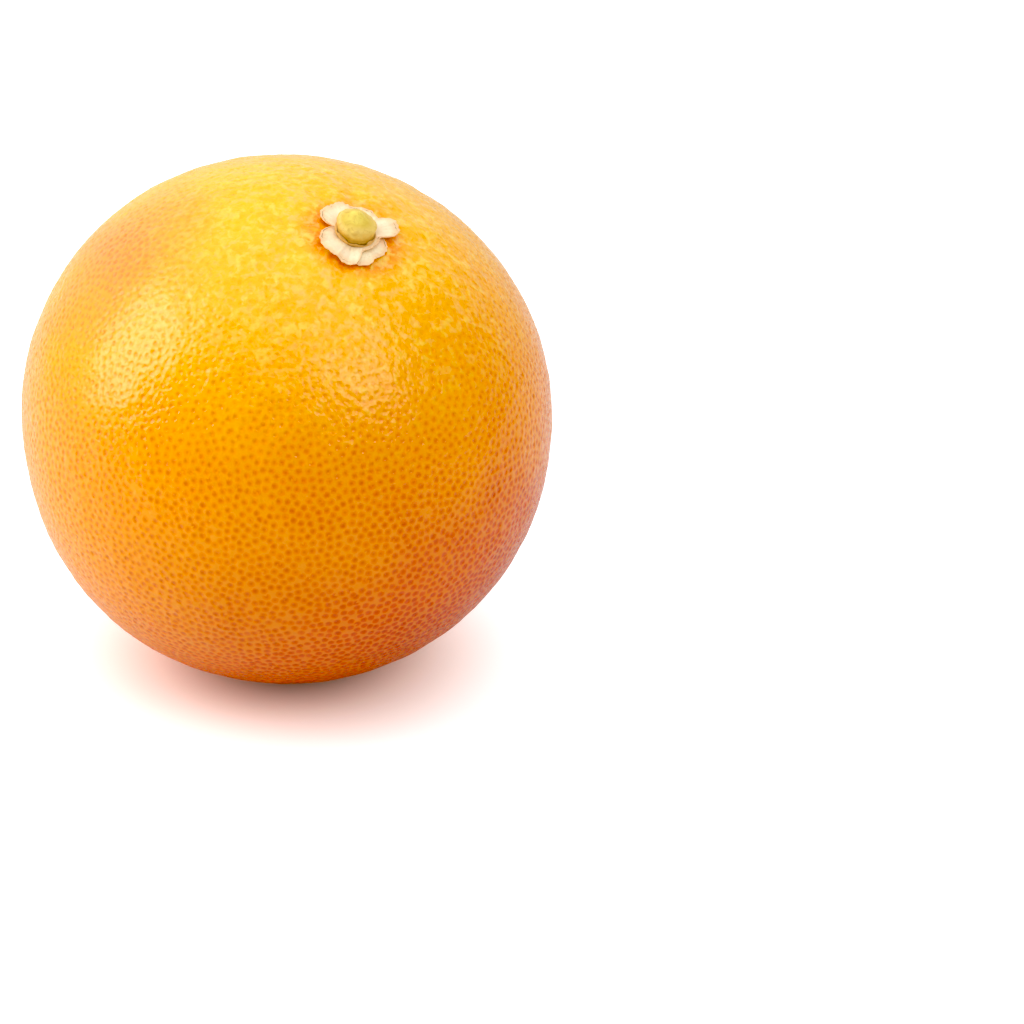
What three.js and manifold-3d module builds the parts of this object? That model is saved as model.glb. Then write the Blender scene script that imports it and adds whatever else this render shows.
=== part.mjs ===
// A whole grapefruit at rest: the fruit, the dried calyx that stays on its stem end, and the
// stub of the stem in the middle of the calyx. Millimetres, +Z up. The origin is on the resting
// surface, under the middle of the object.
//
// Every surface is worked out in the fruit's own frame, with the core along Z and the stem at
// the top, and is then leaned over to the way the fruit lies.
import * as THREE from 'three';
import { mergeVertices } from 'three/addons/utils/BufferGeometryUtils.js';
import Module from 'manifold-3d';

const { degToRad } = THREE.MathUtils;

// The fruit.
const EQUATOR_RADIUS = 52;
const HEIGHT_RATIO = 0.98;                      // stem-to-blossom height over the diameter
const STEM_TILT = 25.6;                         // degrees that the core leans from the vertical
const STEM_BEARING = -55.7;                     // degrees from +X that it leans towards
const RESTING_DEPTH = 0.8;                      // height of the cap that the rest presses flat
const STEM_HOLLOW = { depth: 1.0, radius: 9 };
const BLOSSOM_HOLLOW = { depth: 0.8, radius: 6 };
const FURROW = { deepest: 12, halfAngle: 9 };   // distance from the core; degrees

// Furrows that run out from the stem: bearing in degrees, depth in millimetres.
const FURROWS = [
  [14, 0.4], [50, 0.35], [92, 0.5], [125, 0.3], [165, 0.4], [213, 0.35], [262, 0.5], [318, 0.35],
];

// Broad swellings and flats of the fruit: bearing, latitude and spread in degrees, height in mm.
const SWELLINGS = [
  { bearing: 145, latitude: 22, spread: 25, height: 0.45 },
  { bearing: -170, latitude: -22, spread: 15, height: -0.6 },
  { bearing: -120, latitude: -48, spread: 20, height: 0.5 },
  { bearing: 60, latitude: -12, spread: 30, height: 0.5 },
  { bearing: -5, latitude: 8, spread: 22, height: -0.3 },
];

// The calyx: a thin cup of sepals, pressed on the fruit, whose lobes differ.
const CALYX = { thickness: 1.2, notchRadius: 4.6, curl: 0.7, clearance: 0.35 };
const SEPALS = [
  { bearing: 36, halfAngle: 26, length: 4.9 },
  { bearing: 92, halfAngle: 50, length: 2.6 },
  { bearing: 126, halfAngle: 40, length: 3.7 },
  { bearing: 235, halfAngle: 44, length: 3.3 },
  { bearing: 262, halfAngle: 21, length: 3.8 },
  { bearing: 275, halfAngle: 30, length: 3.5 },
  { bearing: 325, halfAngle: 50, length: 1.9 },
];

// The stem stub: a collar with a rounded knob on it, which leans a little to one side. The knob
// is an ellipse whose lower half shows only this share of its height.
const COLLAR = { footRadius: 3.6, radius: 3.9, height: 0.9 };
const KNOB = { radius: 3.75, halfHeight: 1.9, showing: 0.6, lean: -0.5 };
const STUB_CLEARANCE = 0.35;

// How finely each surface is divided, and how near two vertices are to be one.
const FRUIT_GRID = { around: 60, down: 36 };
const CALYX_GRID = { around: 60, down: 10 };
const STUB_GRID = { around: 28, knobRows: 10 };
const SAME_VERTEX = 1e-3;

// A smooth hump: 1 at the middle, fading to nothing over about two widths.
const hump = (offset, width) => Math.exp(-((offset / width) ** 2));

// A hump with a flatter top and steeper sides, as a sepal's outline has.
const lobe = (offset, width) => Math.exp(-((offset / width) ** 4));

// The smaller angle between two bearings, in degrees.
const turn = (a, b) => Math.abs(((a - b + 540) % 360) - 180);

const unitVector = (bearing, latitude) => new THREE.Vector3().setFromSphericalCoords(
  1, degToRad(90 - latitude), degToRad(bearing),
);

// Distance from the fruit's middle to its skin. The direction is in three.js's own polar terms:
// Y is the core, and the bearing turns from Z towards X.
function skinRadius(direction) {
  const fromCore = EQUATOR_RADIUS * Math.hypot(direction.x, direction.z);
  const bearing = THREE.MathUtils.radToDeg(Math.atan2(direction.x, direction.z));
  let radius = EQUATOR_RADIUS / Math.hypot(direction.x, direction.z, direction.y / HEIGHT_RATIO);
  for (const swelling of SWELLINGS) {
    const apart = direction.angleTo(unitVector(swelling.bearing, swelling.latitude));
    radius += swelling.height * hump(apart, degToRad(swelling.spread));
  }
  if (direction.y < 0) {
    return radius - BLOSSOM_HOLLOW.depth * hump(fromCore, BLOSSOM_HOLLOW.radius);
  }
  radius -= STEM_HOLLOW.depth * hump(fromCore, STEM_HOLLOW.radius);
  const along = (fromCore / FURROW.deepest) ** 2;
  for (const [at, depth] of FURROWS) {
    radius -= depth * along * Math.exp(1 - along) * hump(turn(bearing, at), FURROW.halfAngle);
  }
  return radius;
}

// Moves every vertex of a geometry, leaves only positions and joins the seam's double vertices.
function reshape(geometry, move) {
  geometry.deleteAttribute('normal');
  geometry.deleteAttribute('uv');
  const position = geometry.getAttribute('position');
  const vertex = new THREE.Vector3();
  for (let i = 0; i < position.count; i += 1) {
    vertex.fromBufferAttribute(position, i);
    move(vertex);
    position.setXYZ(i, vertex.x, vertex.y, vertex.z);
  }
  return mergeVertices(geometry, SAME_VERTEX);
}

// Turns three.js's Y-up pole frame (bearing from Z towards X) into the fruit's Z-up frame.
const poleToFruit = new THREE.Matrix4().set(
  0, 0, 1, 0,
  1, 0, 0, 0,
  0, 1, 0, 0,
  0, 0, 0, 1,
);

function fruitGeometry() {
  const skin = reshape(new THREE.SphereGeometry(1, FRUIT_GRID.around, FRUIT_GRID.down), (vertex) => {
    vertex.normalize();
    vertex.multiplyScalar(skinRadius(vertex));
  });
  return skin.applyMatrix4(poleToFruit);
}

// How far the calyx reaches from the core at a bearing, in degrees.
function calyxReach(bearing) {
  const lengths = SEPALS.map((sepal) => (
    sepal.length * lobe(turn(bearing, sepal.bearing), sepal.halfAngle)
  ));
  return CALYX.notchRadius + Math.max(...lengths);
}

// The calyx is a flattened ball whose rim follows the sepals. It is laid on the skin, and its
// edge curls up.
function calyxGeometry() {
  const halfThickness = CALYX.thickness / 2;
  const cup = reshape(new THREE.SphereGeometry(1, CALYX_GRID.around, CALYX_GRID.down), (vertex) => {
    const bearing = Math.atan2(vertex.x, vertex.z);
    const share = Math.hypot(vertex.x, vertex.z);
    const outward = share * calyxReach(THREE.MathUtils.radToDeg(bearing));
    const direction = new THREE.Vector3(
      Math.sin(bearing) * outward, EQUATOR_RADIUS * HEIGHT_RATIO, Math.cos(bearing) * outward,
    ).normalize();
    const lift = CALYX.clearance + halfThickness * (1 + vertex.y) + CALYX.curl * share ** 4;
    vertex.copy(direction).multiplyScalar(skinRadius(direction) + lift);
  });
  return cup.applyMatrix4(poleToFruit);
}

// Height of the calyx's flat top, where the stub stands.
const stubFoot = skinRadius(new THREE.Vector3(0, 1, 0)) + CALYX.clearance + CALYX.thickness
  + STUB_CLEARANCE;

// The stub is turned about the core from a half-round collar and a half-ellipse knob, and then
// leans over in proportion to its height.
function stubGeometry() {
  const knobMiddle = COLLAR.height + KNOB.halfHeight * KNOB.showing;
  const profile = [new THREE.Vector2(0, 0), new THREE.Vector2(COLLAR.footRadius, 0)];
  profile.push(new THREE.Vector2(COLLAR.radius, COLLAR.height / 2));
  for (let i = 0; i < STUB_GRID.knobRows; i += 1) {
    const share = i / STUB_GRID.knobRows;
    const angle = THREE.MathUtils.lerp(-Math.asin(KNOB.showing), Math.PI / 2, share);
    profile.push(new THREE.Vector2(
      KNOB.radius * Math.cos(angle), knobMiddle + KNOB.halfHeight * Math.sin(angle),
    ));
  }
  profile.push(new THREE.Vector2(0, knobMiddle + KNOB.halfHeight));
  const stub = reshape(new THREE.LatheGeometry(profile, STUB_GRID.around), (vertex) => {
    vertex.z += KNOB.lean * Math.max(0, vertex.y - COLLAR.height) / knobMiddle;
    vertex.y += stubFoot;
  });
  return stub.applyMatrix4(poleToFruit);
}

const wasm = await Module();
wasm.setup();

function toSolid(geometry) {
  return new wasm.Manifold(new wasm.Mesh({
    numProp: 3,
    vertProperties: new Float32Array(geometry.getAttribute('position').array),
    triVerts: new Uint32Array(geometry.index.array),
  }));
}

function toGeometry(solid) {
  const mesh = solid.getMesh();
  const geometry = new THREE.BufferGeometry();
  geometry.setAttribute('position', new THREE.BufferAttribute(mesh.vertProperties, 3));
  geometry.setIndex(new THREE.BufferAttribute(mesh.triVerts, 1));
  return geometry;
}

// Takes off everything below the resting surface, which leaves the small flat spot.
function restFlat(geometry) {
  const width = 4 * EQUATOR_RADIUS;
  const below = new THREE.BoxGeometry(width, width, width).translate(0, 0, -width / 2);
  below.deleteAttribute('normal');
  below.deleteAttribute('uv');
  return toGeometry(toSolid(geometry).subtract(toSolid(mergeVertices(below))));
}

// The lean of the core: a turn about the level axis square to its bearing.
const leanAxis = new THREE.Vector3(
  -Math.sin(degToRad(STEM_BEARING)), Math.cos(degToRad(STEM_BEARING)), 0,
);
const lean = new THREE.Quaternion().setFromAxisAngle(leanAxis, degToRad(STEM_TILT));

const skin = fruitGeometry().applyQuaternion(lean);
skin.computeBoundingBox();
const middle = skin.boundingBox.getCenter(new THREE.Vector3());
const place = new THREE.Vector3(-middle.x, -middle.y, -skin.boundingBox.min.z - RESTING_DEPTH);
skin.translate(place.x, place.y, place.z);

function piece(name, geometry, color, roughness) {
  geometry.computeVertexNormals();
  const material = new THREE.MeshStandardMaterial({ color, roughness, metalness: 0 });
  const mesh = new THREE.Mesh(geometry, material);
  mesh.name = name;
  return mesh;
}

const stemEnd = new THREE.Group();
stemEnd.quaternion.copy(lean);
stemEnd.position.copy(place);
stemEnd.add(piece('calyx', calyxGeometry(), 0xe8d2a0, 0.8));
stemEnd.add(piece('stem_stub', stubGeometry(), 0xc9a94e, 0.65));

const grapefruit = new THREE.Group();
grapefruit.add(piece('fruit', restFlat(skin), 0xffa31f, 0.4));
grapefruit.add(stemEnd);

export default grapefruit;
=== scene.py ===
import bpy
import numpy as np
from mathutils import Matrix, Vector


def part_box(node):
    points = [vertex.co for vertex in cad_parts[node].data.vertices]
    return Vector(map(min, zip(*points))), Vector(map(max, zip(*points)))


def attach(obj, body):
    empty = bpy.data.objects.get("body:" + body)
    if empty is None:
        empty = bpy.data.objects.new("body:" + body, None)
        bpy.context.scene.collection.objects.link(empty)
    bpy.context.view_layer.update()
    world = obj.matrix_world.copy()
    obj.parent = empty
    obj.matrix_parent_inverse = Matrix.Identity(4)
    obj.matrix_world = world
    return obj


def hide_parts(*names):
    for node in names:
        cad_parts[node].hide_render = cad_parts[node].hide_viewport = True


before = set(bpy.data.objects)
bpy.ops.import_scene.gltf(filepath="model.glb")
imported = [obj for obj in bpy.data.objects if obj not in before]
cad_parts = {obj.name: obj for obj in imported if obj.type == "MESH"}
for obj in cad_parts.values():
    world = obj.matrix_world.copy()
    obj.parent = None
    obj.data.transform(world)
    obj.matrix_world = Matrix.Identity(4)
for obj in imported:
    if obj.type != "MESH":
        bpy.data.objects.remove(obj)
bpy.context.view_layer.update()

MM = 0.001

# ------------------------------------------------------------------------------ the fruit
# A ripe grapefruit: a ball a little flatter than it is wide, grown round a core that leans
# towards the stem. Its waxy peel is pitted all over by oil glands, is drawn into furrows round
# the stem, and is pressed flat over a small spot where the fruit's weight rests.

EQUATOR_RADIUS = 52.0
HEIGHT_RATIO = 0.98
STEM_HOLLOW = {"depth": 1.0, "radius": 9.0}
BLOSSOM_HOLLOW = {"depth": 0.8, "radius": 6.0}
FURROW = {"deepest": 12.0, "half_angle": 9.0}
# Each furrow's bearing round the core in degrees, and its depth in millimetres.
FURROWS = [(14, 0.4), (50, 0.35), (92, 0.5), (125, 0.3), (165, 0.4), (213, 0.35), (262, 0.5),
           (318, 0.35)]
# Each broad swelling's bearing, latitude and spread in degrees, and its height in millimetres.
SWELLINGS = [(145, 22, 25, 0.45), (-170, -22, 15, -0.6), (-120, -48, 20, 0.5), (60, -12, 30, 0.5),
             (-5, 8, 22, -0.3)]


def hump(offset, width):
    """One in the middle, fading smoothly to nothing over about two widths."""
    return np.exp(-(offset / width) ** 2)


def turn(bearing, other):
    """The smaller angle between two bearings, in degrees."""
    return np.abs((bearing - other + 540) % 360 - 180)


def towards(bearing, latitude):
    """The unit vector at a bearing round the core and a latitude above the equator, in degrees."""
    bearing, latitude = np.radians(bearing), np.radians(latitude)
    return np.stack([np.cos(latitude) * np.cos(bearing), np.cos(latitude) * np.sin(bearing),
                     np.sin(latitude) + 0 * bearing], -1)


def bearing_of(direction):
    """The bearing round the core of each unit vector, in degrees."""
    return np.degrees(np.arctan2(direction[:, 1], direction[:, 0]))


def skin_radius(direction):
    """Millimetres from the middle to the skin: an ellipsoid, plus a hump for each swelling, less
    the hollows at both ends and the furrows, which are deepest some way out from the stem."""
    x, y, z = direction.T
    from_core = EQUATOR_RADIUS * np.hypot(x, y)
    radius = EQUATOR_RADIUS / np.sqrt(x * x + y * y + (z / HEIGHT_RATIO) ** 2)
    for bearing, latitude, spread, height in SWELLINGS:
        apart = np.degrees(np.arccos(np.clip(direction @ towards(bearing, latitude), -1, 1)))
        radius += height * hump(apart, spread)
    radius -= (z < 0) * BLOSSOM_HOLLOW["depth"] * hump(from_core, BLOSSOM_HOLLOW["radius"])
    radius -= (z > 0) * STEM_HOLLOW["depth"] * hump(from_core, STEM_HOLLOW["radius"])
    along = (from_core / FURROW["deepest"]) ** 2
    for bearing, depth in FURROWS:
        groove = hump(turn(bearing_of(direction), bearing), FURROW["half_angle"])
        radius -= (z > 0) * depth * along * np.exp(1 - along) * groove
    return radius


def ball_grid(count):
    """Unit vectors all over a ball, and the four-sided faces between them: the square grids on
    the six sides of a cube, with lines an equal angle apart, pushed out to the ball."""
    line = np.tan(np.linspace(-np.pi / 4, np.pi / 4, count + 1))
    u, v = np.meshgrid(line, line, indexing="ij")
    one = np.ones_like(u)
    sides = [(u, v, one), (v, u, -one), (one, u, v), (-one, v, u), (v, one, u), (u, -one, v)]
    points = np.concatenate([np.stack(side, -1).reshape(-1, 3) for side in sides])
    points /= np.linalg.norm(points, axis=1, keepdims=True)
    rounded = np.round(points, 6) + 0.0
    _, first, shared = np.unique(rounded, axis=0, return_index=True, return_inverse=True)
    corner = np.arange((count + 1) ** 2).reshape(count + 1, count + 1)
    face = np.stack([corner[:-1, :-1], corner[1:, :-1], corner[1:, 1:], corner[:-1, 1:]], -1)
    faces = np.concatenate([face.reshape(-1, 4) + side * (count + 1) ** 2 for side in range(6)])
    return points[first], shared.ravel()[faces]


def scatter(count, spacing, seed, rounds=5):
    """Unit vectors spread evenly but in no pattern: a spiral from pole to pole whose points are
    knocked out of line, and then push away every neighbour nearer than the spacing."""
    random = np.random.default_rng(seed)
    step = np.arange(count) + 0.5
    height = 1 - 2 * step / count
    angle = step * np.pi * (3 - np.sqrt(5))
    outward = np.sqrt(1 - height ** 2)
    points = np.stack([outward * np.cos(angle), outward * np.sin(angle), height], -1)
    points += random.normal(0, 0.33 * spacing, points.shape)
    points = (points / np.linalg.norm(points, axis=1, keepdims=True)).astype(np.float32)
    for _ in range(rounds):
        move = np.empty_like(points)
        for block in np.array_split(np.arange(count), 8):
            apart = np.sqrt(np.clip(2 - 2 * points[block] @ points.T, 1e-9, None))
            push = np.clip(spacing / apart - 1, 0, 1) * (apart > 1e-4)
            move[block] = points[block] * push.sum(1, keepdims=True) - push @ points
        points += 0.3 * move
        points /= np.linalg.norm(points, axis=1, keepdims=True)
    return points


def nearest(places, points):
    """For each unit vector of places, the row of the nearest of points."""
    found = np.empty(len(places), int)
    for block in np.array_split(np.arange(len(places)), len(places) // 2000 + 1):
        found[block] = (places[block].astype(np.float32) @ points.T.astype(np.float32)).argmax(1)
    return found


def ripple(direction, wavelength, seed, waves=40):
    """A smooth random height of about plus or minus one: the mean of plane waves, all of one
    wavelength in millimetres on the fruit, that run in random directions."""
    random = np.random.default_rng(seed)
    way = random.normal(size=(waves, 3))
    way *= 2 * np.pi * EQUATOR_RADIUS / wavelength / np.linalg.norm(way, axis=1, keepdims=True)
    return np.cos(direction @ way.T + random.uniform(0, 2 * np.pi, waves)).sum(1) / np.sqrt(waves)


def smooth_step(value, start, end):
    """Zero before start, one after end, and an S-shaped curve between."""
    share = np.clip((value - start) / (end - start), 0, 1)
    return share * share * (3 - 2 * share)


# How the fruit lies: the core runs from the fruit's middle to the foot of the stem stub. The
# middle follows from the lean and the lean from the middle, so a few rounds settle both. A unit
# is what one millimetre of the shape above measures in the frame.
GRID_COUNT = 128
fruit_low, fruit_high = (np.array(corner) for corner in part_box("fruit"))
heart = (fruit_low + fruit_high) / 2
stub_points = np.array([vertex.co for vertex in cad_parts["stem_stub"].data.vertices])
stub_foot = stub_points[np.linalg.norm(stub_points - heart, axis=1).argmin()]
grid, peel_faces = ball_grid(GRID_COUNT)
level = grid * skin_radius(grid)[:, None]
for _ in range(4):
    core = Vector(stub_foot - heart)
    lean = np.array(Vector((0, 0, 1)).rotation_difference(core).to_matrix())
    leaning = level @ lean.T
    unit = (fruit_high - fruit_low)[:2].sum() / np.ptp(leaning, axis=0)[:2].sum()
    heart = (fruit_low + fruit_high) / 2 - unit * (leaning.max(0) + leaning.min(0)) / 2
    heart[2] = fruit_high[2] - unit * leaning[:, 2].max()


def lay(direction, radius):
    """Places in the frame, in metres, of points this many millimetres from the fruit's middle."""
    return heart + unit * (direction * radius[:, None]) @ lean.T


# The oil glands. Each one's share of the peel is nearly that of a packing of equal circles.
GLAND_SPACING = 1.7
GLAND_AREA = 0.87 * GLAND_SPACING ** 2
GLAND_COUNT = int(4 * np.pi * EQUATOR_RADIUS ** 2 / GLAND_AREA)
PIT_DEPTH = 0.08
PIT_RADIUS = 0.5
PULL_RADIUS = 0.8
glands = scatter(GLAND_COUNT, 1.12 * GLAND_SPACING / EQUATOR_RADIUS, seed=3)
gland_size = np.random.default_rng(5).triangular(0.6, 1.0, 1.25, GLAND_COUNT)
# Near the stem the pits are shallower.
gland_size *= 0.45 + 0.55 * smooth_step(np.degrees(np.arccos(glands[:, 2])), 12, 50)

# Each gland pulls the grid's nearest corner on to its middle, so that every pit has a bottom.
caught = nearest(glands, grid)
own = nearest(grid, glands)
pull = hump(EQUATOR_RADIUS * np.linalg.norm(grid - grid[caught][own], axis=1), PULL_RADIUS)
grid += (glands - grid[caught])[own] * pull[:, None]
grid /= np.linalg.norm(grid, axis=1, keepdims=True)

from_gland = EQUATOR_RADIUS * np.linalg.norm(grid - glands[own], axis=1)
from_stem = np.degrees(np.arccos(np.clip(grid[:, 2], -1, 1)))
near_stem = 1 - smooth_step(from_stem, 10, 60)
# The skin, less the pits, plus fine and broad unevenness that is stronger near the stem.
peel_radius = skin_radius(grid) - PIT_DEPTH * gland_size[own] * hump(from_gland, PIT_RADIUS)
peel_radius += 0.03 * ripple(grid, 3.2, seed=11) + 0.05 * ripple(grid, 8.0, seed=12)
peel_radius += near_stem * (0.05 * ripple(grid, 2.6, seed=13) + 0.07 * ripple(grid, 5.0, seed=14))
peel_points = lay(grid, peel_radius)
# What would hang below the table is pressed flat on it, with a rounded edge.
REST_ROUNDING = 0.3 * MM
height = peel_points[:, 2]
peel_points[:, 2] = np.where(height > REST_ROUNDING, height,
                             np.clip(height + REST_ROUNDING, 0, None) ** 2 / (4 * REST_ROUNDING))

# Every face carries the place and the size of its gland, for the dots in the material.
GLAND_MIDDLE_DEPTH = 0.06
face_gland = nearest(grid[peel_faces].mean(1), glands)
gland_places = lay(glands, skin_radius(glands) - GLAND_MIDDLE_DEPTH)


def new_piece(name, points, faces):
    """A smooth-shaded mesh object at the origin, made from whole arrays of points and faces."""
    mesh = bpy.data.meshes.new(name)
    mesh.from_pydata(points.tolist(), [], faces)
    mesh.shade_smooth()
    piece = bpy.data.objects.new(name, mesh)
    bpy.context.scene.collection.objects.link(piece)
    return piece


peel = new_piece("peel", peel_points, peel_faces.tolist())
gland_attribute = peel.data.attributes.new("gland_place", "FLOAT_VECTOR", "FACE")
gland_attribute.data.foreach_set("vector", gland_places[face_gland].astype(np.float32).ravel())
size_attribute = peel.data.attributes.new("gland_size", "FLOAT", "FACE")
size_attribute.data.foreach_set("value", gland_size[face_gland].astype(np.float32))


def colour(red, green, blue):
    """A linear colour with alpha, from the eight-bit values that a screen shows."""
    channel = np.array([red, green, blue]) / 255
    linear = np.where(channel <= 0.04045, channel / 12.92, ((channel + 0.055) / 1.055) ** 2.4)
    return (*linear.tolist(), 1.0)


def new_material(name):
    """A material with only its output and a principled shader, and its tree."""
    material = bpy.data.materials.new(name)
    material.use_nodes = True
    return material, material.node_tree, material.node_tree.nodes["Principled BSDF"]


def add(tree, kind, inputs=(), **settings):
    """Adds a shader node, sets its properties, and fills or links its inputs."""
    made = tree.nodes.new("ShaderNode" + kind)
    for name, value in settings.items():
        setattr(made, name, value)
    for key, value in dict(inputs).items():
        if isinstance(value, bpy.types.NodeSocket):
            tree.links.new(value, made.inputs[key])
        else:
            made.inputs[key].default_value = value
    return made


def calc(tree, operation, first, second=0.0, clamp=False):
    """One arithmetic step between two numbers."""
    return add(tree, "Math", {0: first, 1: second}, operation=operation, use_clamp=clamp).outputs[0]


def fade(tree, value, start, end, low=0.0, high=1.0):
    """Low before start, high after end, and a smooth step between."""
    inputs = {"Value": value, "From Min": start, "From Max": end, "To Min": low, "To Max": high}
    return add(tree, "MapRange", inputs, interpolation_type="SMOOTHSTEP").outputs[0]


def blend_colours(tree, share, first, second, blend_type="MIX"):
    """Mixes two colours by a share from 0 to 1."""
    mixer = add(tree, "Mix", {0: share, 6: first, 7: second}, data_type="RGBA", blend_type=blend_type)
    return mixer.outputs[2]


def fill_ramp(ramp, stops):
    """Gives a new colour ramp these stops, each a place from 0 to 1 and an eight-bit colour."""
    for at, value in stops[1:-1]:
        ramp.elements.new(at)
    for element, (at, value) in zip(ramp.elements, stops):
        element.position = at
        element.color = colour(*value)


def noise(tree, place, wavelength, detail=2.0, **inputs):
    """Smooth noise from 0 to 1 with blotches of about this many millimetres."""
    values = {"Vector": place, "Scale": 1 / (wavelength * MM), "Detail": detail, **inputs}
    return add(tree, "TexNoise", values).outputs["Fac"]


peel_skin, tree, shader = new_material("peel_skin")
place = add(tree, "TexCoord").outputs["Object"]
# The same place in the fruit's own frame, in fruit radii.
on_fruit = add(tree, "Mapping", {"Vector": place, "Location": heart, "Rotation": Matrix(lean).to_euler(),
                                 "Scale": (unit * EQUATOR_RADIUS,) * 3}, vector_type="TEXTURE").outputs[0]
room_axes = add(tree, "SeparateXYZ", {0: place})


def distance(tree, first, second):
    """The distance between two places, each a socket or three numbers."""
    return add(tree, "VectorMath", {0: first, 1: second}, operation="DISTANCE").outputs["Value"]


# Broad blotches and fine mottles, both of about plus or minus a half.
blotch = calc(tree, "SUBTRACT", noise(tree, place, 14, 3), 0.5)
mottle = calc(tree, "SUBTRACT", noise(tree, place, 1.6, 3, Distortion=0.4), 0.5)
STEM_END = (0, 0, 0.97)
BLOSSOM_END = (0, 0, -0.965)
off_core = distance(tree, on_fruit, STEM_END)

# Colour by height in the room: golden yellow above, warm orange in the middle and deep red-orange
# below, partly the peel's own colour and partly painted shade that darkens the lower part. Low
# down, painted shade also makes the right side redder and darker than the left.
ripeness_and_shade = calc(tree, "MULTIPLY", room_axes.outputs["Z"], float(1 / (fruit_high[2] - fruit_low[2])))
ripeness_and_shade = calc(tree, "ADD", ripeness_and_shade, calc(tree, "MULTIPLY", blotch, 0.22))
painted_side_shade = fade(tree, ripeness_and_shade, 0.2, 0.7, 0.42, 0.08)
to_the_right = calc(tree, "DIVIDE", room_axes.outputs["X"], float(fruit_high[0]))
painted_side_shade = calc(tree, "MULTIPLY", painted_side_shade, to_the_right)
ripeness_and_shade = calc(tree, "SUBTRACT", ripeness_and_shade, painted_side_shade)
ripe_and_shade = add(tree, "ValToRGB", {0: ripeness_and_shade})
RIPE_AND_SHADE_COLOURS = [(0.0, (206, 62, 2)), (0.2, (220, 86, 4)), (0.36, (230, 114, 8)),
                (0.5, (240, 134, 6)), (0.65, (246, 150, 4)), (0.8, (252, 172, 8)),
                (1.0, (255, 196, 30))]
fill_ramp(ripe_and_shade.color_ramp, RIPE_AND_SHADE_COLOURS)

# A pink blush on the left shoulder, and a deeper orange ring round the calyx: painted shade
# where the calyx sits in its hollow.
BLUSH = {"bearing": 176, "latitude": 40}
off_blush = distance(tree, on_fruit, tuple(towards(BLUSH["bearing"], BLUSH["latitude"])))
off_blush = calc(tree, "ADD", off_blush, calc(tree, "MULTIPLY", blotch, 0.3))
blush = calc(tree, "MULTIPLY", fade(tree, off_blush, 0.05, 0.5, 1.0, 0.0), 0.85)
skin_colour_and_painted_light = blend_colours(tree, blush, ripe_and_shade.outputs[0], colour(250, 142, 74))
painted_calyx_shade = fade(tree, off_core, 0.14, 0.23, 0.75, 0.0)
skin_colour_and_painted_light = blend_colours(tree, painted_calyx_shade, skin_colour_and_painted_light, colour(246, 122, 4))

# Pale streaks between golden hollows, most of them near the stem. The pale streaks are partly
# the peel's own mottling and partly painted highlight on the raised streaks.
top_share = fade(tree, off_core, 0.18, 1.05, 1.0, 0.0)
warmer = fade(tree, noise(tree, place, 3.5), 0.4, 0.6)
streak_and_highlight_colour = blend_colours(tree, warmer, colour(255, 224, 104), colour(255, 200, 112))
pale_and_highlight = calc(tree, "MULTIPLY", fade(tree, mottle, -0.06, 0.18), calc(tree, "MULTIPLY", top_share, 0.7))
skin_colour_and_painted_light = blend_colours(tree, pale_and_highlight, skin_colour_and_painted_light, streak_and_highlight_colour)
golden = calc(tree, "MULTIPLY", fade(tree, mottle, -0.05, -0.14), calc(tree, "MULTIPLY", top_share, 0.5))
skin_colour_and_painted_light = blend_colours(tree, golden, skin_colour_and_painted_light, colour(250, 178, 0))

# A dark dot over each gland, redder than the peel, and paler peel where glands stand apart.
gland_place = add(tree, "Attribute", attribute_name="gland_place").outputs["Vector"]
gland_share = add(tree, "Attribute", attribute_name="gland_size").outputs["Fac"]
reach = calc(tree, "DIVIDE", distance(tree, place, gland_place), MM)
between = calc(tree, "MULTIPLY", fade(tree, reach, 0.52, 0.88), 0.22)
skin_colour_and_painted_light = blend_colours(tree, between, skin_colour_and_painted_light, colour(255, 196, 60))
dot = fade(tree, calc(tree, "DIVIDE", reach, gland_share), 0.0, 0.63, 1.0, 0.0)
dot_colour = blend_colours(tree, 1.0, skin_colour_and_painted_light, colour(232, 196, 160), "MULTIPLY")
dot_share = fade(tree, ripeness_and_shade, 0.5, 0.95, 0.8, 0.35)
dot_share = calc(tree, "MULTIPLY", dot_share, gland_share, clamp=True)
skin_colour_and_painted_light = blend_colours(tree, calc(tree, "MULTIPLY", dot, dot_share), skin_colour_and_painted_light, dot_colour)

# A small brown scar is left where the flower fell off, opposite the stem.
off_scar = distance(tree, on_fruit, BLOSSOM_END)
off_scar = calc(tree, "ADD", off_scar, calc(tree, "MULTIPLY", mottle, 0.05))
scar_ring = fade(tree, off_scar, 0.03, 0.075, 0.5, 0.0)
skin_colour_and_painted_light = blend_colours(tree, scar_ring, skin_colour_and_painted_light, colour(196, 120, 40))
scar = fade(tree, off_scar, 0.02, 0.034, 1.0, 0.0)
skin_colour_and_painted_light = blend_colours(tree, scar, skin_colour_and_painted_light, colour(98, 62, 30))

tree.links.new(skin_colour_and_painted_light, shader.inputs["Base Color"])
shader.inputs["Roughness"].default_value = 0.24
shader.inputs["Specular IOR Level"].default_value = 0.5
shader.inputs["Coat Weight"].default_value = 0.15
shader.inputs["Coat Roughness"].default_value = 0.18
shader.inputs["Subsurface Weight"].default_value = 0.0

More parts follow.
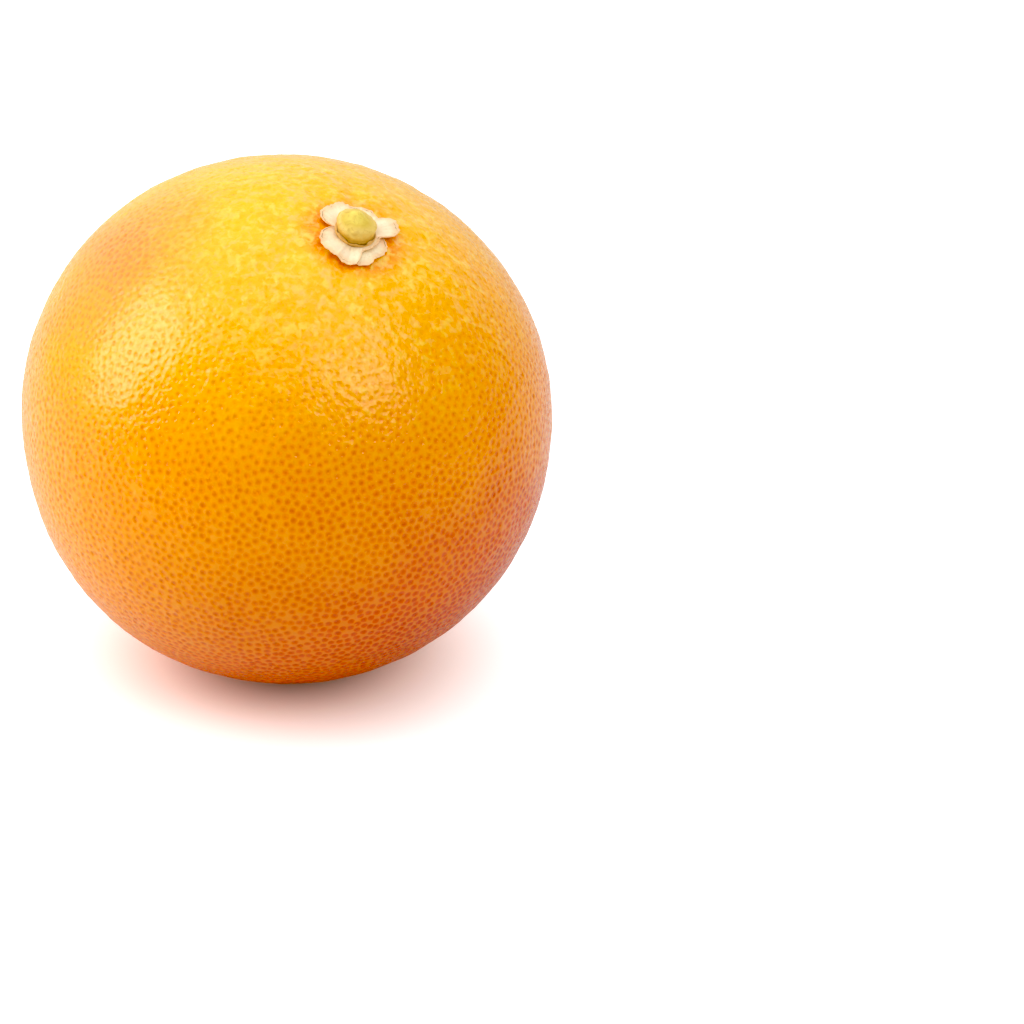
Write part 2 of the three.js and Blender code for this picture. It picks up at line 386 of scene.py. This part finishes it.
# The relief, in millimetres: pits, fine and coarse unevenness, pebbles and the streaks.
pit = calc(tree, "MULTIPLY", fade(tree, reach, 0.1, 0.57, -1.0, 0.0), gland_share)
relief = calc(tree, "MULTIPLY", pit, 0.09)
relief = calc(tree, "ADD", relief, calc(tree, "MULTIPLY", noise(tree, place, 0.45, 3), 0.08))
relief = calc(tree, "ADD", relief, calc(tree, "MULTIPLY", noise(tree, place, 1.1, 2), 0.16))
PEBBLE_SIZE = 1.05 * MM
cells = add(tree, "TexVoronoi", {"Vector": place, "Scale": 1 / PEBBLE_SIZE}, feature="SMOOTH_F1")
relief = calc(tree, "SUBTRACT", relief, calc(tree, "MULTIPLY", cells.outputs["Distance"], 0.2))
streaks = calc(tree, "MULTIPLY", calc(tree, "MULTIPLY", mottle, top_share), 0.3)
relief = calc(tree, "ADD", relief, streaks)
bump = add(tree, "Bump", {"Height": relief, "Distance": MM, "Strength": 0.8})
tree.links.new(bump.outputs[0], shader.inputs["Normal"])
peel.data.materials.append(peel_skin)
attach(peel, "root")
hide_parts("fruit")

# ----------------------------------------------------------------------------- the calyx
# The dried cup that held the flower: thin, papery sepals, fused in the middle and grown on the
# fruit, whose edges have split, browned and curled up. Two low ones show from under the rest.

# Each sepal's bearing and half angle in degrees, and how far it reaches beyond its layer's
# notches in millimetres. Both notches are measured from the core.
SEPALS = [(30, 24, 4.4), (88, 52, 2.9), (128, 40, 3.3), (235, 44, 3.3), (262, 21, 3.8)]
LOWER_SEPALS = [(278, 36, 3.5), (322, 54, 2.3)]
UPPER_NOTCH = 4.6
LOWER_NOTCH = 4.4
CLEFT = {"bearing": 176, "half_angle": 5, "depth": 0.6}
UPPER_LAYER = {"thickness": 0.5, "foot": 0.75, "curl": 0.4}
LOWER_LAYER = {"thickness": 0.35, "foot": 0.22, "curl": 0.25}


def lobe(offset, width):
    """Like a hump, with a flatter top and steeper sides, as a sepal's outline has."""
    return np.exp(-(offset / width) ** 4)


def fibres(bearing, coarsest, finest, seed):
    """A random wave round the core, of about plus or minus one: cosines of whole numbers of turns."""
    random = np.random.default_rng(seed)
    turns = np.arange(coarsest, finest)
    phase = random.uniform(0, 2 * np.pi, len(turns))
    size = random.normal(size=len(turns)) / np.sqrt(turns / coarsest)
    waves = np.cos(np.radians(bearing)[..., None] * turns + phase) @ size
    return waves / np.linalg.norm(size)


def sepals_reach(bearing, sepals, notch, seed):
    """Millimetres from the core to a layer's ragged edge: at each bearing the longest sepal's."""
    lengths = [length * lobe(turn(bearing, at), half) for at, half, length in sepals]
    return notch + np.max(lengths, axis=0) + 0.12 * fibres(bearing, 7, 60, seed)


def upper_reach(bearing):
    """The upper layer's edge, less the cleft that splits it at the left."""
    cleft = CLEFT["depth"] * hump(turn(bearing, CLEFT["bearing"]), CLEFT["half_angle"])
    return sepals_reach(bearing, SEPALS, UPPER_NOTCH, seed=21) - cleft


def lower_reach(bearing):
    """The lower layer's edge."""
    return sepals_reach(bearing, LOWER_SEPALS, LOWER_NOTCH, seed=22)


def closed_rows(rows):
    """Points and faces of a closed surface from rows of points round it. The first and the last
    row are one point each, and the others are joined in order with four-sided faces."""
    count, columns = len(rows) - 2, rows.shape[1]
    points = np.concatenate([rows[0, :1], rows[1:-1].reshape(-1, 3), rows[-1, :1]])
    number = 1 + np.arange(count * columns).reshape(count, columns)
    after = np.roll(number, -1, axis=1)
    sides = np.stack([number[:-1], after[:-1], after[1:], number[1:]], -1).reshape(-1, 4)
    start = np.stack([0 * number[0], after[0], number[0]], -1)
    end = np.stack([number[-1], after[-1], 0 * number[-1] + len(points) - 1], -1)
    return points, start.tolist() + sides.tolist() + end.tolist()


def sepal_layer(reach_at, thickness, foot, curl, seed, rows=36, columns=420):
    """Rows of a thin closed layer that lies on the skin, from the middle of its underside out to
    the edge and back over its top. It rises from the foot by a curl that grows with the fourth
    power of the way out and differs from sepal to sepal. Also gives each row's share of the way."""
    half_turn = np.linspace(0, np.pi, rows)
    share = np.sin(half_turn)[:, None] ** 0.8
    side = -np.cos(half_turn)[:, None]
    bearing = np.linspace(0, 360, columns, endpoint=False)[None, :]
    outward = share * reach_at(bearing)
    bearing = bearing + 0 * outward
    x = outward * np.cos(np.radians(bearing))
    y = outward * np.sin(np.radians(bearing))
    z = 0 * outward + EQUATOR_RADIUS * HEIGHT_RATIO
    direction = np.stack([x, y, z], -1)
    direction = (direction / np.linalg.norm(direction, axis=-1, keepdims=True)).reshape(-1, 3)
    lift = foot + curl * share ** 4 * (1 + 0.45 * fibres(bearing, 2, 6, seed))
    fine = 0.05 * share * fibres(bearing, 12, 70, seed + 1)
    coarse = 0.10 * share ** 2 * fibres(bearing, 5, 14, seed + 2)
    lift += fine + coarse
    lift += thickness / 2 * np.sign(side) * np.abs(side) ** 0.35
    points = lay(direction, skin_radius(direction) + lift.ravel()).reshape(rows, columns, 3)
    return points, share + 0 * outward


def joined(layers):
    """One list of points and one of faces from several closed surfaces."""
    points, faces = [], []
    for rows in layers:
        more_points, more_faces = closed_rows(rows)
        faces += [[corner + len(points) for corner in face] for face in more_faces]
        points += more_points.tolist()
    return np.array(points), faces


def per_point(values):
    """One value for each point that closed_rows makes, from rows of values like its rows."""
    return np.concatenate([values[0, :1], values[1:-1].ravel(), values[-1, :1]])


upper_rows, upper_share = sepal_layer(upper_reach, **UPPER_LAYER, seed=31)
lower_rows, lower_share = sepal_layer(lower_reach, **LOWER_LAYER, seed=41)
calyx_points, calyx_faces = joined([lower_rows, upper_rows])
calyx = new_piece("calyx_sepals", calyx_points, calyx_faces)
edge_share = np.concatenate([per_point(lower_share), per_point(upper_share)])
edge_attribute = calyx.data.attributes.new("edge_share", "FLOAT", "POINT")
edge_attribute.data.foreach_set("value", edge_share.astype(np.float32))

dry_sepal, tree, shader = new_material("dry_sepal")
place = add(tree, "TexCoord").outputs["Object"]
edge = add(tree, "Attribute", attribute_name="edge_share").outputs["Fac"]
patches = noise(tree, place, 3.0, 3)
flecks = noise(tree, place, 0.5, 3)
paper = fade(tree, patches, 0.35, 0.65)
sepal_colour_and_painted_shade = blend_colours(tree, paper, colour(255, 240, 204), colour(255, 229, 196))
# The rim is browner, and here and there a dark line runs along just inside it: painted
# shadow under the curled edge.
rim = fade(tree, calc(tree, "ADD", edge, calc(tree, "MULTIPLY", patches, 0.2)), 0.86, 1.08)
rim = calc(tree, "MULTIPLY", rim, 0.7)
sepal_colour_and_painted_shade = blend_colours(tree, rim, sepal_colour_and_painted_shade, colour(248, 198, 148))
brown = fade(tree, flecks, 0.55, 0.75, 0.0, 0.25)
sepal_colour_and_painted_shade = blend_colours(tree, brown, sepal_colour_and_painted_shade, colour(212, 176, 116))
EDGE_SHADOW_AT = 0.955
off_edge_shadow = calc(tree, "ADD", edge, calc(tree, "MULTIPLY", flecks, 0.04))
off_edge_shadow = calc(tree, "ABSOLUTE", calc(tree, "SUBTRACT", off_edge_shadow, EDGE_SHADOW_AT))
edge_shadow = fade(tree, off_edge_shadow, 0.004, 0.014, 1.0, 0.0)
edge_shadow = calc(tree, "MULTIPLY", edge_shadow, fade(tree, patches, 0.46, 0.56))
edge_shadow = calc(tree, "MULTIPLY", edge_shadow, 0.8)
sepal_colour_and_painted_shade = blend_colours(tree, edge_shadow, sepal_colour_and_painted_shade, colour(92, 58, 26))
# Darker towards the middle: partly the calyx's own greener tint, partly painted shade round the stub's
# collar.
middle_tint_and_shade = fade(tree, edge, 0.42, 0.66, 0.45, 0.0)
sepal_colour_and_painted_shade = blend_colours(tree, middle_tint_and_shade, sepal_colour_and_painted_shade, colour(206, 178, 116))
tree.links.new(sepal_colour_and_painted_shade, shader.inputs["Base Color"])
shader.inputs["Roughness"].default_value = 0.75
shader.inputs["Specular IOR Level"].default_value = 0.3
relief = calc(tree, "ADD", flecks, calc(tree, "MULTIPLY", patches, 0.6))
bump = add(tree, "Bump", {"Height": relief, "Distance": 0.12 * MM, "Strength": 0.7})
tree.links.new(bump.outputs[0], shader.inputs["Normal"])
calyx.data.materials.append(dry_sepal)
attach(calyx, "root")
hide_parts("calyx")

# -------------------------------------------------------------------------- the stem stub
# What is left of the stem where the fruit was picked: a low woody collar, grown on the calyx,
# and on it a rounded ochre knob with a small paler boss, which has shrunk a little as it dried.

COLLAR = {"radius": 3.9, "height": 0.9}
KNOB = {"radius": 3.75, "half_height": 1.9, "lean": -0.5}
KNOB_MIDDLE = COLLAR["height"] + 0.6 * KNOB["half_height"]
# The stub stands this far above the skin, on the calyx.
STUB_FOOT = 0.9
BOSS = {"x": 0.1, "y": 0.5, "radius": 1.2, "height": 0.7}


def stub_rows(columns=160):
    """Rows of the stub from its foot to its top: half an ellipse for the collar, then most of an
    ellipse for the knob, roughened, with a boss on top, and leaning in proportion to its height."""
    collar_angle = np.radians(np.linspace(-90, 66, 28))
    knob_angle = np.radians(np.linspace(-20, 90, 60))
    collar_outward = COLLAR["radius"] - 0.55 + 0.55 * np.cos(collar_angle)
    collar_up = COLLAR["height"] / 2 * (1 + np.sin(collar_angle))
    knob_outward = KNOB["radius"] * np.cos(knob_angle)
    knob_up = KNOB_MIDDLE + KNOB["half_height"] * np.sin(knob_angle)
    outward = np.concatenate([[0], collar_outward, knob_outward])
    up = np.concatenate([[0], collar_up, knob_up])
    bearing = np.radians(np.linspace(0, 360, columns, endpoint=False))
    x = outward[:, None] * np.cos(bearing)
    y = outward[:, None] * np.sin(bearing)
    z = up[:, None] + 0 * x
    around = np.stack([x, y, (z - KNOB_MIDDLE) * 1.6], -1).reshape(-1, 3) / EQUATOR_RADIUS
    rough = 0.10 * ripple(around, 3.0, seed=51) + 0.05 * ripple(around, 1.3, seed=52)
    rough = rough.reshape(x.shape) * (outward[:, None] > 0) * smooth_step(z, 0, 1)
    swell = 1 + rough / KNOB["radius"]
    boss = BOSS["height"] * hump(np.hypot(x - BOSS["x"], y - BOSS["y"]), BOSS["radius"])
    boss *= smooth_step(z, KNOB_MIDDLE, KNOB_MIDDLE + KNOB["half_height"])
    along = KNOB["lean"] * np.clip(z - COLLAR["height"], 0, None) / KNOB_MIDDLE
    foot = skin_radius(np.array([[0.0, 0.0, 1.0]]))[0] + STUB_FOOT
    places = np.stack([x * swell + along, y * swell, foot + z + boss + 0.5 * rough], -1)
    flat = places.reshape(-1, 3)
    radius = np.linalg.norm(flat, axis=1)
    return lay(flat / radius[:, None], radius).reshape(places.shape), z + boss


stub_places, stub_up = stub_rows()
stub_points, stub_faces = closed_rows(stub_places)
stub = new_piece("stem_knob", stub_points, stub_faces)
up_attribute = stub.data.attributes.new("up", "FLOAT", "POINT")
up_attribute.data.foreach_set("value", per_point(stub_up).astype(np.float32))

woody, tree, shader = new_material("woody_stub")
place = add(tree, "TexCoord").outputs["Object"]
up = add(tree, "Attribute", attribute_name="up").outputs["Fac"]
patches = noise(tree, place, 2.5, 3)
flecks = noise(tree, place, 1.1, 3, Distortion=1.5)
# Colour by height, made uneven: a pale collar, a dark band over it that is painted shade in
# the crevice under the knob, and an ochre knob whose lower part is partly darkened by painted shade.
waver = calc(tree, "MULTIPLY", calc(tree, "SUBTRACT", patches, 0.5), 1.4)
wood_height = calc(tree, "ADD", up, waver)
wood_and_shade = add(tree, "ValToRGB", {0: calc(tree, "DIVIDE", wood_height, KNOB_MIDDLE + KNOB["half_height"])})
WOOD_AND_SHADE_COLOURS = [(0.0, (222, 176, 112)), (0.19, (226, 176, 104)), (0.225, (96, 56, 22)),
                (0.25, (196, 146, 62)), (0.55, (232, 190, 100)), (0.76, (240, 206, 116)),
                (0.9, (226, 192, 84)), (1.0, (240, 214, 104))]
fill_ramp(wood_and_shade.color_ramp, WOOD_AND_SHADE_COLOURS)
dark = fade(tree, flecks, 0.5, 0.7, 0.0, 0.35)
wood_colour_and_painted_shade = blend_colours(tree, dark, wood_and_shade.outputs[0], colour(196, 146, 60))
tree.links.new(wood_colour_and_painted_shade, shader.inputs["Base Color"])
shader.inputs["Roughness"].default_value = 0.55
relief = calc(tree, "ADD", flecks, patches)
bump = add(tree, "Bump", {"Height": relief, "Distance": 0.2 * MM, "Strength": 0.6})
tree.links.new(bump.outputs[0], shader.inputs["Normal"])
stub.data.materials.append(woody)
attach(stub, "root")
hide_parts("stem_stub")

# ------------------------------------------------------------------------- floor and light
# A white table top in plain, soft studio light.

white, tree, shader = new_material("white_table")
shader.inputs["Roughness"].default_value = 0.7
shader.inputs["Emission Color"].default_value = (1, 1, 1, 1)
place = add(tree, "TexCoord").outputs["Object"]
from_fruit = distance(tree, place, (0, 0, 0))
# Only the camera sees the table glow, painted light that is nothing close to the fruit and grows
# outwards, so that the table is plain white beyond a small shadow without lighting the fruit.
seen = add(tree, "LightPath").outputs["Is Camera Ray"]
glow = calc(tree, "MULTIPLY", seen, fade(tree, from_fruit, 0.006, 0.048, 0.0, 0.5))
tree.links.new(glow, shader.inputs["Emission Strength"])
# Painted light: the table's own colour is warmer close to the fruit, standing for light that
# has passed through the peel.
away = fade(tree, from_fruit, 0.02, 0.05)
table_colour_and_painted_light = blend_colours(tree, away, (0.95, 0.7, 0.55, 1), (0.9, 0.9, 0.9, 1))
tree.links.new(table_colour_and_painted_light, shader.inputs["Base Color"])
FLOOR_HALF = 4.0
floor_points = FLOOR_HALF * np.array([(-1, -1, 0), (1, -1, 0), (1, 1, 0), (-1, 1, 0)])
floor = new_piece("floor", floor_points, [(0, 1, 2, 3)])
floor.data.materials.append(white)

world = bpy.data.worlds.new("studio")
bpy.context.scene.world = world
world.use_nodes = True
# The room is brighter behind the fruit than in front of it.
tree = world.node_tree
sky_axes = add(tree, "SeparateXYZ", {0: add(tree, "TexCoord").outputs["Generated"]})
glow = fade(tree, sky_axes.outputs["Y"], -0.3, 0.9, 0.25, 0.95)
tree.nodes["Background"].inputs["Color"].default_value = (1, 1, 1, 1)
tree.links.new(glow, tree.nodes["Background"].inputs["Strength"])


def soft_light(name, direction, away, width, height, power):
    """A rectangular lamp that faces the fruit from a direction, in metres and watts."""
    data = bpy.data.lights.new(name, "AREA")
    data.shape = "RECTANGLE"
    data.size = width
    data.size_y = height
    data.energy = power
    lamp = bpy.data.objects.new(name, data)
    lamp.location = Vector(heart) + away * Vector(direction).normalized()
    lamp.rotation_euler = (Vector(heart) - lamp.location).to_track_quat("-Z", "Y").to_euler()
    bpy.context.scene.collection.objects.link(lamp)


soft_light("left_window", (-0.865, -0.10, 0.516), 0.9, 0.45, 0.7, 4.6)
soft_light("right_window", (0.557, -0.599, 0.633), 0.9, 0.42, 0.42, 1.8)
soft_light("overhead", (0.0, -0.15, 1.0), 1.6, 2.4, 2.4, 18.5)

# The camera looks slightly down on the fruit, which sits left of and above the view's middle.
CAMERA_ELEVATION = np.radians(25)
LENS = 100.0
# The fruit's width over the view's, and how far its middle stands to the right of and above the
# view's middle, in view widths.
FRUIT_SHARE = 0.5215
ASIDE = -0.2197
ABOVE = 0.0913
camera_data = bpy.data.cameras.new("camera")
camera_data.lens = LENS
camera = bpy.data.objects.new("camera", camera_data)
view_width = camera_data.sensor_width / LENS
camera_away = unit * EQUATOR_RADIUS / np.sin(np.arctan(FRUIT_SHARE / 2 * view_width))
back = np.array([0, -np.cos(CAMERA_ELEVATION), np.sin(CAMERA_ELEVATION)])
camera.location = heart + camera_away * back
camera.rotation_euler = (-Vector(back)).to_track_quat("-Z", "Y").to_euler()
# The lens is shifted, rather than the camera turned, to bring the fruit off the middle.
camera_data.shift_x = -ASIDE
camera_data.shift_y = -ABOVE
bpy.context.scene.collection.objects.link(camera)
bpy.context.scene.camera = camera
# The tone curve takes the thin veil of reflected white off the darkest colours.
view = bpy.context.scene.view_settings
view.view_transform = "Standard"
view.use_curve_mapping = True
view.curve_mapping.black_level = (0.04, 0.042, 0.060)
